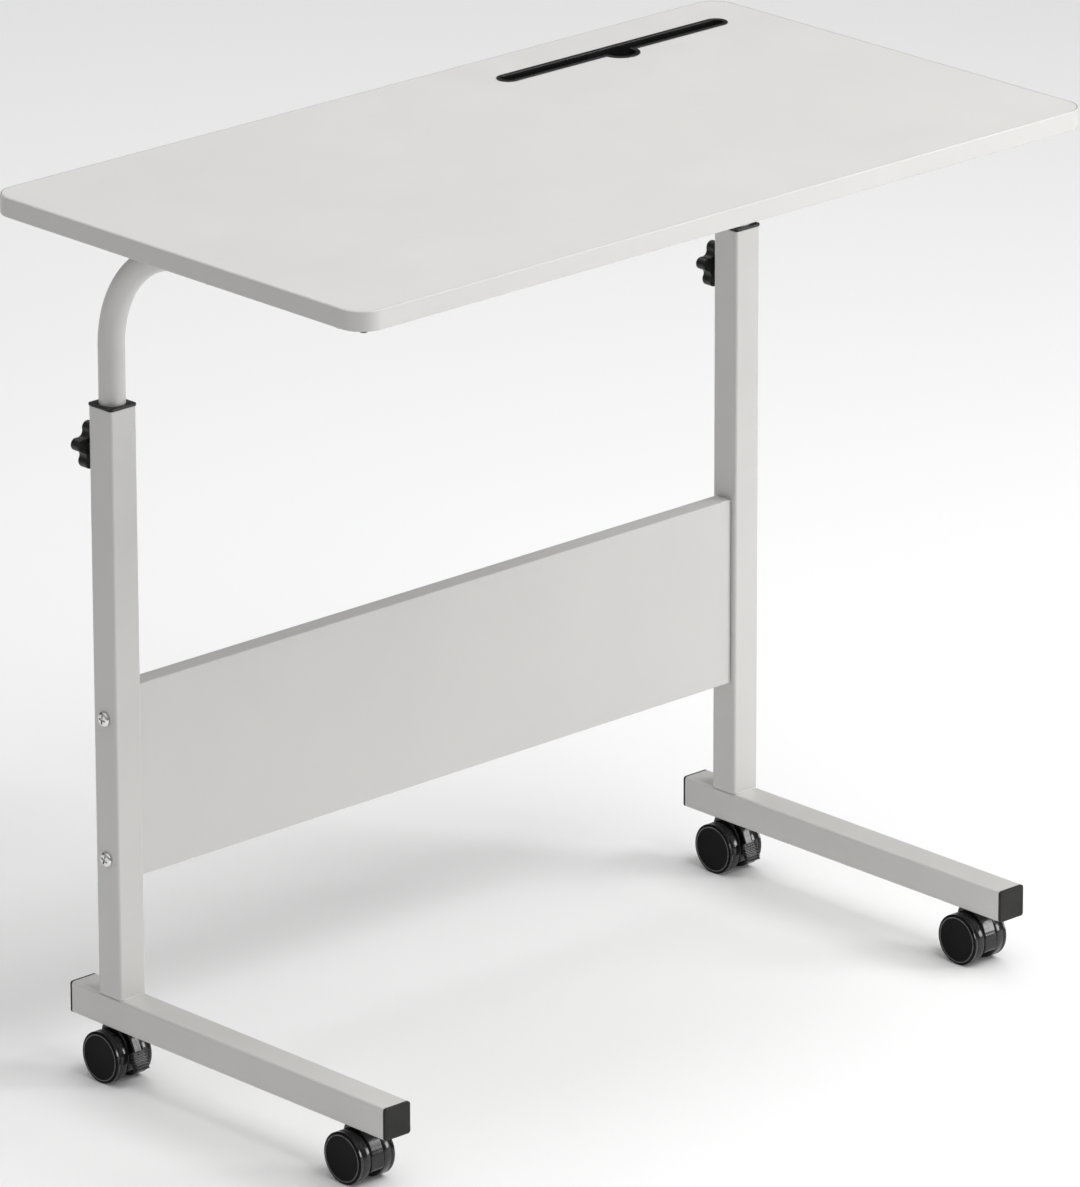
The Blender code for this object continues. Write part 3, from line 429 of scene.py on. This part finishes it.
# ---------------------------------------------------------------- posts
# Two upright lengths of the same 25 mm square tube, welded on top of the feet and coated with them.  A low
# bead of weld, blasted smooth before coating, fills the joint in front of and behind each post.
bead_radius, bead_half_length = 0.0009, 0.0098
bead_rings, bead_segments = 57, 16
ripple, ripple_waves = 0.10, 34
along = np.linspace(-1.0, 1.0, bead_rings)
swell = np.sqrt(np.clip(1 - np.abs(along) ** 10, 0, 1)) * (1 + ripple * np.sin(ripple_waves * along)) + 0.02
bead_length = np.broadcast_to((along * bead_half_length)[:, None, None], (bead_rings, bead_segments, 1))
grid = np.concatenate([bead_length, swell[:, None, None] * circle(bead_radius, bead_segments)[None]], -1)
for side in sides:
    node = side + "_post"
    low, high = np.array(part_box(node))
    post = square_tube(node + "_tube", low, high, Z, X, Y, "frame")
    finish(post, white_powder, "white_powder_coat", node)
    for face, y in (("front", low[1]), ("rear", high[1])):
        seam = np.array([(low[0] + high[0]) / 2, y, low[2] - 0.0001])
        bead = surface(f"{side}_{face}_weld", grid + seam, "frame", cap_first=True, cap_last=True)
        finish(bead, white_powder, "white_powder_coat")

# ---------------------------------------------------------------- panel
# A 16 mm particle board between the posts, faced with white melamine paper and edged with a thin white band,
# its long edges just broken.  It stiffens the frame and hangs on four screws.
melamine = coat("white_melamine", (0.632, 0.626, 0.611), (0.614, 0.608, 0.594), 9.0, (0.46, 0.54),
                2300.0, 0.000009, swell=120.0, swell_relief=0.000010)
low, high = np.array(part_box("modesty_panel"))
span = high - low
half = span[1] / 2
panel_edge, panel_corner = 0.0008, 0.0010
rim = soft_edge(half, panel_edge)
around = lambda inset: rounded_outline(span[0] - 2 * inset, span[2] - 2 * inset, panel_corner - inset, 4)
grid = stacked(around, rim + [(i, -y) for i, y in rim[::-1]])
panel = surface("modesty_panel_board", turned_to(grid, (low + high) / 2, X, Z, Y), "frame",
                cap_first=True, cap_last=True)
finish(panel, melamine, "white_laminate", "modesty_panel")

# ---------------------------------------------------------------- panel screws
# Bright nickel-plated pan-head screws with a cross recess, driven through each post into the ends of the
# panel.  Their heads stand 2.6 mm proud on the posts' outer faces.
nickel = coat("bright_nickel_plating", (0.86, 0.86, 0.85), (0.78, 0.78, 0.77), 300.0, (0.16, 0.26),
              2500.0, 0.000003, metallic=1.0)
# the cross recess, in shares of the head's radius: its arms' half width and reach, and their walls' widths
arm_half, arm_wall = 0.115, 0.035
arm_reach, tip_wall = 0.62, 0.06
skirt_drop = 0.0006


def pan_head(radius, height, lines=33):
    """Round low dome over a square of lines bent to a disc: x = u sqrt(1 - v v / 2), y = v sqrt(1 - u u / 2).
    The dome falls by its distance from the middle squared, and to the sixth power near its edge.  A cross is
    sunk into it, shallower outwards, with walls one line wide."""
    walls = np.array([arm_half, arm_half + arm_wall, arm_reach - tip_wall, arm_reach])
    line = np.unique(np.round(np.concatenate([np.linspace(-1.0, 1.0, lines), walls, -walls]), 5))
    u, v = np.meshgrid(line, line, indexing="ij")
    x, y = u * np.sqrt(1 - v**2 / 2), v * np.sqrt(1 - u**2 / 2)
    r = np.hypot(x, y)
    dome = height * (1 - 0.50 * r**6) - 0.06 * height * r**2
    within = lambda t, end, wall: np.clip((end - np.abs(t)) / wall, 0, 1)
    beside_arm = [within(t, arm_half + arm_wall, arm_wall) for t in (u, v)]
    along_arm = [within(t, arm_reach, tip_wall) for t in (v, u)]
    sink = np.maximum(beside_arm[0] * along_arm[0], beside_arm[1] * along_arm[1])
    deep = 0.85 * height * sink * (1 - 0.45 * np.clip(r / 0.6, 0, 1) ** 2)
    return np.stack([radius * x, radius * y, dome - deep], -1)


def sheet_piece(name, grid, body, skirt, across, up, out, origin):
    """Piece from a square grid of points: the grid's faces, and a skirt whose rings are its border scaled and
    set at a height in turn, down to a flat back."""
    rows, columns = grid.shape[:2]
    index = np.arange(rows * columns).reshape(rows, columns)
    cells = np.stack([index[:-1, :-1], index[1:, :-1], index[1:, 1:], index[:-1, 1:]], -1).reshape(-1, 4)
    border = np.concatenate([index[:-1, 0], index[-1, :-1], index[:0:-1, -1], index[0, :0:-1]])
    points = grid.reshape(-1, 3)
    below = [np.column_stack([points[border, :2] * scale, np.full(len(border), height)])
             for scale, height in skirt]
    below_index = len(points) + np.arange(len(border) * len(skirt)).reshape(len(skirt), -1)
    rings = np.concatenate([[border], below_index])
    walls = np.stack([rings[:-1], rings[1:], np.roll(rings[1:], -1, 1), np.roll(rings[:-1], -1, 1)], -1)
    everything = turned_to(np.concatenate([points, *below]), origin, across, up, out)
    faces = cells.tolist() + walls.reshape(-1, 4).tolist() + [rings[-1][::-1].tolist()]
    if np.dot(np.cross(across, up), out) < 0:
        faces = [face[::-1] for face in faces]
    return piece_of(name, everything, faces, body, 40.0)


for side, sign in sides.items():
    for level, lean in (("lower", 0.35), ("upper", 0.12)):
        node = f"{side}_{level}_panel_screw"
        low, high = np.array(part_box(node))
        post_low, post_high = np.array(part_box(side + "_post"))
        seat = (low + high) / 2
        seat[0] = post_low[0] if sign < 0 else post_high[0]
        tall = abs((low[0] if sign < 0 else high[0]) - seat[0])
        turn = np.array([0.0, np.cos(lean), np.sin(lean)])
        head = sheet_piece(node + "_head", pan_head((high[2] - low[2]) / 2, tall), "frame",
                           [(1.0, skirt_drop), (0.80, skirt_drop), (0.80, 0.0)],
                           turn, np.cross(sign * X, turn), sign * X, seat)
        finish(head, nickel, "bright_steel", node)

# ---------------------------------------------------------------- collars
# A black plastic bush closes the top of each post and guides the round tube.  Its thin square flange
# overhangs the post by half a millimetre, and its sleeve fills the post for 24 mm.
black_moulding = coat("black_abs_moulding", (0.0110, 0.0110, 0.0112), (0.0080, 0.0080, 0.0083), 70.0,
                      (0.26, 0.38), 2300.0, 0.000009, gloss=0.4)
bore_radius = 0.0103
flange_thick, flange_corner, sleeve_inset = 0.0020, 0.0024, 0.0020
for side in sides:
    node = side + "_post_collar"
    low, high = np.array(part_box(node))
    size = high[0] - low[0]
    top, flange = high[2], high[2] - flange_thick
    square = square_ring(size, flange_corner)
    bearing = np.arctan2(*square(0.0).T[::-1])
    hole = lambda radius: radius * np.stack([np.cos(bearing), np.sin(bearing)], 1)
    outer = soft_edge(top, 0.0006) + soft_edge(flange, 0.0003, side=-1.0)[::-1]
    rows = [(square, i, z) for i, z in outer]
    rows += [(square, sleeve_inset, flange), (square, sleeve_inset, low[2]), (hole, bore_radius, low[2]),
             (hole, bore_radius, top - 0.0005), (hole, bore_radius + 0.0002, top - 0.0001),
             (hole, bore_radius + 0.0005, top)]
    grid = np.stack([np.column_stack([ring(size_at), np.full(len(bearing), z)]) for ring, size_at, z in rows])
    middle = np.array([(low[0] + high[0]) / 2, (low[1] + high[1]) / 2, 0.0])
    collar = surface(node + "_moulding", grid + middle, "frame", wrap_rows=True)
    finish(collar, black_moulding, "black_plastic", node)

# ---------------------------------------------------------------- upper tubes
# Round 20 mm steel tube, bent forward over an 85 mm radius so that it runs flat under the tabletop, and
# powder coated like the frame.  The bend is a trace flattened on its outside, as a mandrel leaves it.
bend_radius = 0.085
round_wall = 0.0012
bend_flattening = 0.025
beside_bend = 0.0005
tube_segments = 64
ring = circle(1.0, tube_segments)
turn = np.linspace(0.0, np.pi / 2, 49)
away = np.concatenate([[0, 0], turn, [np.pi / 2] * 2])
outward = np.stack([np.cos(away), np.sin(away)], 1)
flat = np.concatenate([[0, 0], np.sin(2 * turn), [0, 0]]) * bend_flattening
for side in sides:
    node = side + "_upper_tube"
    low, high = np.array(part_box(node))
    radius = (high[0] - low[0]) / 2
    x, run_z, post_y = (low[0] + high[0]) / 2, high[2] - radius, high[1] - radius
    bend = np.stack([post_y - bend_radius * (1 - np.cos(turn)), run_z - bend_radius * (1 - np.sin(turn))], 1)
    path = np.concatenate([[(post_y, low[2]), (post_y, run_z - bend_radius - beside_bend)], bend,
                           [(post_y - bend_radius - beside_bend, run_z), (low[1], run_z)]])
    skins = []
    for size in (radius, radius - round_wall):
        lift = size * ring[None, :, 1] * (1 - flat[:, None] * (ring[None, :, 1] > 0) * ring[None, :, 1] ** 2)
        skins.append(np.concatenate([
            np.broadcast_to(size * ring[None, :, :1] + x, (len(path), tube_segments, 1)),
            path[:, None] + lift[..., None] * outward[:, None]], -1))
    tube = surface(node + "_bent", np.concatenate([skins[0], skins[1][::-1]]), "tabletop", wrap_rows=True)
    finish(tube, white_powder, "white_powder_coat", node)

# ---------------------------------------------------------------- tube ends and glides
# A domed black plug is pressed into the front end of each upper tube, and a square glide of the same plastic
# on its lower end keeps it central in the post.
dome_height, dome_fall = 0.0020, 0.0011
plug_step = 0.0016
for side in sides:
    node = side + "_tube_end_plug"
    low, high = np.array(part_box(node))
    middle = (low + high) / 2
    radius = (high[2] - low[2]) / 2
    seat = np.array([middle[0], low[1] + dome_height, middle[2]])
    depth = high[1] - seat[1]
    profile = [(radius * r, dome_height - dome_fall * r**4) for r in np.linspace(0.02, 1.0, 14)]
    profile += [(radius, 0.0004), (radius - 0.0003, 0.0)]
    profile += [(radius - plug_step, 0.0), (radius - plug_step, -depth), (0.002, -depth)]
    grid = stacked(lambda r: circle(r, tube_segments), profile)
    plug = surface(node + "_moulding", turned_to(grid, seat, X, Z, -Y), "tabletop",
                   cap_first=True, cap_last=True)
    finish(plug, black_moulding, "black_plastic", node)
    keep_shape(black_moulding, side + "_tube_glide")

# ---------------------------------------------------------------- tabletop
# A 15 mm particle board faced with white melamine paper on both sides, with round corners.  A 1 mm white
# plastic band is glued round its edge and routed to a soft radius above and below.  The narrow groove at its
# seam with the board is coloured dark grey: painted shade, standing for the shade down in the groove.
keep_shape(melamine, "tabletop_board")
band_white = coat("white_edge_band", (0.634, 0.628, 0.612), (0.616, 0.610, 0.595), 11.0, (0.30, 0.40),
                  1900.0, 0.000007, swell=150.0, swell_relief=0.000009)
# Dark grey painted shade for the groove at the band's seam: the shade inside it is put into its colour.
seam_shade_paint = coat("seam_painted_shade", (0.16, 0.155, 0.145), (0.10, 0.097, 0.09), 40.0, (0.45, 0.6), 1500.0, 0.000005)
low, high = np.array(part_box("tabletop_edge_band"))
span = high - low
board_low, board_high = np.array(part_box("tabletop_board"))
seam = (span[0] - (board_high - board_low)[0]) / 2
band_edge = 0.0007
top_corner = 0.020
seam_groove_width, seam_groove_depth = 0.00040, 0.0003
band_inner = seam - seam_groove_width
bury = 0.0008
half = span[2] / 2
shell = [(band_inner, half)] + soft_edge(half, band_edge)
shell = shell + [(i, -z) for i, z in shell[::-1]]
shell += [(band_inner, seam_groove_depth - half), (seam + bury, seam_groove_depth - half),
          (seam + bury, half - seam_groove_depth), (band_inner, half - seam_groove_depth)]
around = lambda inset: rounded_outline(span[0] - 2 * inset, span[1] - 2 * inset, top_corner - inset, 28)
grid = stacked(around, shell)
band = surface("tabletop_edge_band_strip", turned_to(grid, (low + high) / 2, X, Y, Z), "tabletop",
               wrap_rows=True)
finish(band, band_white, "white_laminate", "tabletop_edge_band")
band.data.materials.append(seam_shade_paint)
segments = grid.shape[1]
# the faces of the seam groove get the painted shade
shaded_seam_faces = np.zeros(len(band.data.polygons), dtype=np.int32)
shaded_seam_faces[(len(shell) - 4) * segments:(len(shell) - 1) * segments] = 1
band.data.polygons.foreach_set("material_index", shaded_seam_faces)

# ---------------------------------------------------------------- tablet slot
# A black plastic trough let into the board near its right rear corner, where a tablet or phone stands on
# edge.  Its thin flange lies on the board, its inner lip is rounded, and a half-round notch leaves room for
# a finger.
low, high = np.array(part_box("tablet_slot_tray"))
slot_length, slot_width, notch_radius = high[0] - low[0], 0.0185, 0.0150
flange, lip, wall = 0.0020, 0.0007, 0.0015
flange_above_board, flange_edge = 0.0003, 0.0003
slot_middle = np.array([(low[0] + high[0]) / 2, high[1] - slot_width / 2, 0.0])


def slot_outline(inset):
    """Ring about the slot's middle: two half circles on the ends and an arc bulging from the front side, all
    moved in by the inset, with guard points on the straights."""
    half = slot_width / 2 - inset
    end = slot_length / 2 - slot_width / 2
    radius = notch_radius - inset
    notch_y = -slot_width / 2 + flange / 2
    reach = np.arcsin((-half - notch_y) / radius)
    right = np.linspace(-np.pi / 2, np.pi / 2, 25)
    notch = np.linspace(np.pi - reach, 2 * np.pi + reach, 33)
    notch_end = radius * np.cos(reach)
    guard = 0.0008
    right_end = np.stack([end + half * np.cos(right), half * np.sin(right)], 1)
    bulge = np.stack([radius * np.cos(notch), notch_y + radius * np.sin(notch)], 1)
    return np.concatenate([
        [(end - guard, -half)], right_end, [(end - guard, half)],
        [(guard - end, half)], -right_end, [(guard - end, -half)],
        [(-notch_end - guard, -half)], bulge, [(notch_end + guard, -half)]])


pocket = flange + wall
top = high[2]
under = board_high[2] + flange_above_board
profile = [(pocket, low[2] + wall), (pocket, top - lip - 0.0002)]
profile += [(pocket - i, z) for i, z in soft_edge(top, lip)[::-1]]
profile += soft_edge(top, flange_edge, steps=3)[:-1] + [(0.0, under)]
profile += [(flange, under), (flange, low[2])]
grid = stacked(slot_outline, profile)
tray = surface("tablet_slot_tray_moulding", grid + slot_middle, "tabletop", cap_first=True, cap_last=True)
finish(tray, black_moulding, "black_plastic", "tablet_slot_tray")

# ---------------------------------------------------------------- screws under the top
# Two long zinc-plated pan-head screws go up through each upper tube into the board.  Their heads are below
# the tube, and the tube hides their shanks.
top_head_height, head_sunk = 0.0022, 0.0006
for side in sides:
    for end in ("front", "rear"):
        node = f"{side}_{end}_top_screw"
        low, high = np.array(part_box(node))
        radius = (high[0] - low[0]) / 2
        seat = np.array([(low[0] + high[0]) / 2, (low[1] + high[1]) / 2, low[2] + top_head_height])
        head = sheet_piece(node + "_head", pan_head(radius, top_head_height), "tabletop",
                           [(1.0, 0.0), (1.0, -head_sunk)], X, -Y, -Z, seat)
        finish(head, zinc, "zinc_plated_steel", node)

# ---------------------------------------------------------------- clamp knobs
# Five-lobed black plastic star knobs moulded over M6 studs, in a weld nut on the rear face of each post.
# Turning one in presses its stud on the tube and holds the tabletop at its height.
lobe_radius, lobe_out, valley = 0.0047, 0.0135, 0.0115
knob_segments = 240
stud_hole, hub_radius, hub_edge, hub_height = 0.0034, 0.0085, 0.0004, 0.0022
lobe_turned = 98.5
rear_edge, front_edge = 0.0016, 0.0009
fifth = 2 * np.pi / 5
beside = lobe_out * np.cos(fifth / 2)
hollow_radius = ((lobe_out**2 + valley**2 - 2 * valley * beside - lobe_radius**2)
                 / (2 * (lobe_radius - valley + beside)))


def star(angles):
    """Distance to the edge at each angle: a lobe's circle seen from the middle is d cos a plus the root of
    r r - (d sin a)(d sin a), and between two lobes it is the near side of the hollow circle touching both."""
    from_lobe = (angles + fifth / 2) % fifth - fifth / 2
    from_valley = fifth / 2 - np.abs(from_lobe)
    hollow_out = valley + hollow_radius
    bulge = lobe_radius**2 - (lobe_out * np.sin(from_lobe)) ** 2
    lobe = lobe_out * np.cos(from_lobe) + np.sqrt(np.clip(bulge, 0, None))
    dip = hollow_radius**2 - (hollow_out * np.sin(from_valley)) ** 2
    hollow = hollow_out * np.cos(from_valley) - np.sqrt(np.clip(dip, 0, None))
    share = lobe_radius / (lobe_radius + hollow_radius)
    toward_hollow = np.array([np.cos(fifth / 2), np.sin(fifth / 2)])
    touch = (1 - share) * np.array([lobe_out, 0.0]) + share * hollow_out * toward_hollow
    return np.where(np.abs(from_lobe) < np.arctan2(touch[1], touch[0]), lobe, hollow)


angles = np.linspace(0.0, 2 * np.pi, knob_segments, endpoint=False)
compass = np.stack([np.cos(angles), np.sin(angles)], 1)
edge = star(angles - np.radians(lobe_turned))
# the shallow round dish in the rear face: radius and depth
dish = ((0.0086, 0.0), (0.0082, 0.0001), (0.0078, 0.0006), (0.0070, 0.0008), (0.0020, 0.0008))
for side in sides:
    node = side + "_knob"
    low, high = np.array(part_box(node))
    stud_low, stud_high = np.array(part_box(side + "_clamp_stud"))
    axis = (stud_low + stud_high) / 2
    hub, face = low[1], low[1] + hub_height
    rows = [(stud_hole, hub), (hub_radius - hub_edge, hub), (hub_radius, hub + hub_edge),
            (hub_radius, face - 0.0002), (hub_radius + 0.0003, face)]
    rows += [(edge - i, y) for i, y in soft_edge(face, front_edge, side=-1.0)]
    rows += [(edge - i, y) for i, y in soft_edge(high[1], rear_edge)[::-1]]
    rows += [(r, high[1] - deep) for r, deep in dish]
    grid = np.stack([np.column_stack([np.broadcast_to(r, knob_segments)[:, None] * compass,
                                      np.full(knob_segments, y)]) for r, y in rows])
    knob = surface(node + "_moulding", turned_to(grid, axis * (X + Z), X, Z, Y), side + "_knob",
                   cap_first=True, cap_last=True, crease=40.0)
    finish(knob, black_moulding, "black_plastic", node)
    keep_shape(zinc, side + "_clamp_stud", side + "_clamp_nut")

# ---------------------------------------------------------------- room
# A plain pale floor that runs on past the view, a low soft light in front on the right, broad ones in front,
# overhead and behind, and a faint glow from above and from the left.
reach = 30.0
floor_mesh = bpy.data.meshes.new("studio_floor")
floor_mesh.from_pydata([(-reach, -reach, 0), (reach, -reach, 0), (reach, reach, 0), (-reach, reach, 0)], [],
                       [(0, 1, 2, 3)])
floor = bpy.data.objects.new("studio_floor", floor_mesh)
bpy.context.scene.collection.objects.link(floor)
paper = bpy.data.materials.new("pale_paper")
paper.use_nodes = True
paper_shader = paper.node_tree.nodes["Principled BSDF"]
paper_shader.inputs["Base Color"].default_value = (0.95, 0.95, 0.95, 1.0)
paper_shader.inputs["Roughness"].default_value = 0.95
paper_shader.inputs["Specular IOR Level"].default_value = 0.1
floor.data.materials.append(paper)


def soft_light(name, place, aim, width, height, power):
    """Rectangular area light at a place, facing its aim."""
    data = bpy.data.lights.new(name, "AREA")
    data.shape = "RECTANGLE"
    data.size, data.size_y, data.energy = width, height, power
    lamp = bpy.data.objects.new(name, data)
    bpy.context.scene.collection.objects.link(lamp)
    away = np.asarray(place, float) - np.asarray(aim, float)
    away /= np.linalg.norm(away)
    right = np.cross([0.0, 0.0, 1.0], away)
    right = right / np.linalg.norm(right) if np.linalg.norm(right) > 1e-6 else X
    turn = np.stack([right, np.cross(away, right), away], 1)
    lamp.matrix_world = Matrix.Translation(place) @ Matrix(turn.tolist()).to_4x4()


soft_light("front_softbox", (2.3, -2.5, 0.98), (0.0, 0.0, 0.45), 1.0, 1.2, 38.0)
soft_light("front_right_softbox", (2.2, -1.9, 3.0), (0.0, 0.0, 0.4), 1.6, 1.2, 35.0)
soft_light("front_high_softbox", (0.1, -2.2, 3.1), (0.0, 0.0, 0.4), 2.0, 1.3, 33.0)
soft_light("overhead_softbox", (0.2, -0.2, 3.2), (0.0, 0.0, 0.4), 2.6, 2.6, 37.0)
soft_light("rear_softbox", (1.3, 2.7, 2.6), (1.3, 2.8, 0.0), 2.2, 2.2, 15.0)

sky = bpy.data.worlds.new("studio_sky")
sky.use_nodes = True
sky_nodes, sky_links = sky.node_tree.nodes, sky.node_tree.links
heading = sky_nodes.new("ShaderNodeTexCoord").outputs["Generated"]
glows = []
for direction, start, strength in ((Z, 0.2, 0.50), (-X, 0.0, 0.30)):
    toward = sky_nodes.new("ShaderNodeVectorMath")
    toward.operation = "DOT_PRODUCT"
    toward.inputs[1].default_value = direction
    sky_links.new(heading, toward.inputs[0])
    ramp = sky_nodes.new("ShaderNodeMapRange")
    ramp.interpolation_type = "SMOOTHSTEP"
    ramp.inputs["From Min"].default_value = start
    ramp.inputs["To Max"].default_value = strength
    sky_links.new(toward.outputs["Value"], ramp.inputs["Value"])
    glows.append(ramp.outputs["Result"])
together = sky_nodes.new("ShaderNodeMath")
sky_links.new(glows[0], together.inputs[0])
sky_links.new(glows[1], together.inputs[1])
backdrop = sky_nodes["Background"]
backdrop.inputs["Color"].default_value = (1.0, 1.0, 1.0, 1.0)
sky_links.new(together.outputs["Value"], backdrop.inputs["Strength"])
bpy.context.scene.world = sky
bpy.context.scene.view_settings.view_transform = "Standard"

# ---------------------------------------------------------------- camera
# A long lens from the front left, a little above the top, which keeps the legs nearly parallel.
lens = bpy.data.cameras.new("camera")
lens.lens = 316.94
lens.sensor_width = 36.0
lens.clip_start, lens.clip_end = 0.5, 100.0
camera = bpy.data.objects.new("camera", lens)
bpy.context.scene.collection.objects.link(camera)
azimuth, elevation, roll = np.radians([-43.0499, 19.4548, -0.1467])
forward = np.cos(elevation) * (np.cos(azimuth) * Y - np.sin(azimuth) * X) - np.sin(elevation) * Z
level = np.cross(forward, Z)
level /= np.linalg.norm(level)
upright = np.cross(level, forward)
right = np.cos(roll) * level + np.sin(roll) * upright
upper = np.cross(right, forward)
table_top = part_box("tabletop_board")[1][2]
camera_place = (-5.00267, -5.34754, 2.24128 + table_top)
camera.matrix_world = (Matrix.Translation(camera_place)
                       @ Matrix(np.stack([right, upper, -forward], 1).tolist()).to_4x4())
bpy.context.scene.camera = camera
